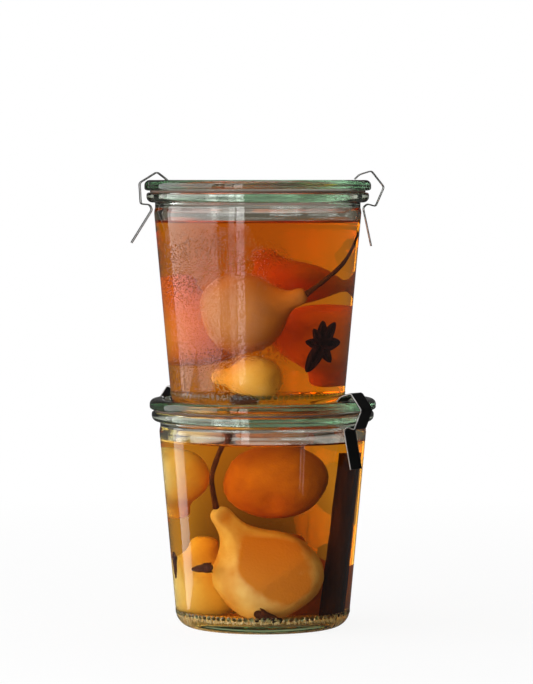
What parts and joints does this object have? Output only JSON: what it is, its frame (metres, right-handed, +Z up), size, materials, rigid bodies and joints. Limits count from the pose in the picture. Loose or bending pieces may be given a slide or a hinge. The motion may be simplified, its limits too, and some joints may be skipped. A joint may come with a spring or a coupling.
{
  "type": "glass preserving jar stack",
  "caption": "Stacked tapered glass preserving jars of pears in spiced syrup, each with a recessed glass lid, a rubber seal and sprung steel clips.",
  "frame": {"origin": "on the standing plane, midway between the axes of the lower and the upper jar", "axes": "+Z up along the jars, +X to the viewer's right and +Y away from the viewer"},
  "size_m": [0.1224, 0.109, 0.2199],
  "materials": {
    "jar_glass": "clear pressed glass with a faint green tint",
    "seal_rubber": "dark rubber ring",
    "clip_steel": "bright rolled spring steel",
    "syrup": "clear amber syrup",
    "pear_lower": "soft poached fruit",
    "pear_upper": "soft poached fruit",
    "stem": "dark woody stem",
    "cinnamon": "dark rolled bark",
    "clove": "dark dried bud",
    "star_anise": "dark dried pods"
  },
  "bodies": {
    "lower_jar": {"lower_jar": "jar_glass", "lower_pear_front": "pear_lower", "lower_pear_top": "pear_lower", "lower_pear_back": "pear_lower", "lower_pear_base": "pear_lower", "lower_pear_left": "pear_lower", "lower_pear_front_stem": "stem", "lower_cinnamon": "cinnamon", "lower_clove_front": "clove", "lower_clove_left": "clove", "lower_clove_edge": "clove", "lower_syrup": "syrup"},
    "lower_lid": {"lower_lid": "jar_glass", "lower_seal": "seal_rubber"},
    "lower_clip_front": {"lower_clip_front": "clip_steel"},
    "lower_clip_back": {"lower_clip_back": "clip_steel"},
    "upper_jar": {"upper_jar": "jar_glass", "upper_pear_stemmed": "pear_upper", "upper_pear_left": "pear_upper", "upper_pear_right": "pear_upper", "upper_pear_bottom": "pear_upper", "upper_pear_back": "pear_upper", "upper_pear_stem": "stem", "upper_star_anise": "star_anise", "upper_clove": "clove", "upper_syrup": "syrup"},
    "upper_lid": {"upper_lid": "jar_glass", "upper_seal": "seal_rubber"},
    "upper_clip_right": {"upper_clip_right": "clip_steel"},
    "upper_clip_left": {"upper_clip_left": "clip_steel"}
  },
  "joints": [
    {"name": "lower_lid_lift", "type": "slide", "parent": "lower_jar", "child": "lower_lid", "axis": [0, 0, 1], "range_m": [0, 0.006]},
    {"name": "upper_jar_lift", "type": "slide", "parent": "lower_lid", "child": "upper_jar", "axis": [0, 0, 1], "range_m": [0, 0.06]},
    {"name": "upper_lid_lift", "type": "slide", "parent": "upper_jar", "child": "upper_lid", "axis": [0, 0, 1], "range_m": [0, 0.009]},
    {"name": "lower_clip_front_swing", "type": "hinge", "parent": "lower_lid", "child": "lower_clip_front", "pos_m": [0.0389, -0.02739, 0.11037], "axis": [-0.5878, -0.809, 0], "range_deg": [0, 60.5]},
    {"name": "lower_clip_back_swing", "type": "hinge", "parent": "lower_lid", "child": "lower_clip_back", "pos_m": [-0.0365, 0.02739, 0.11037], "axis": [0.5878, 0.809, 0], "range_deg": [0, 60.5]},
    {"name": "upper_clip_right_swing", "type": "hinge", "parent": "upper_lid", "child": "upper_clip_right", "pos_m": [0.0454, 0, 0.21547], "axis": [0, -1, 0], "range_deg": [0, 110.5]},
    {"name": "upper_clip_left_swing", "type": "hinge", "parent": "upper_lid", "child": "upper_clip_left", "pos_m": [-0.04453, -0.00379, 0.2152], "axis": [-0.0872, 0.9962, 0], "range_deg": [0, 110.5]}
  ],
  "couplings": [
    {"joint": "lower_clip_front_swing", "follows": "lower_lid_lift", "rad_per_m": 174.53},
    {"joint": "lower_clip_back_swing", "follows": "lower_lid_lift", "rad_per_m": 174.53},
    {"joint": "upper_clip_right_swing", "follows": "upper_lid_lift", "rad_per_m": 213.3},
    {"joint": "upper_clip_left_swing", "follows": "upper_lid_lift", "rad_per_m": 213.3}
  ]
}
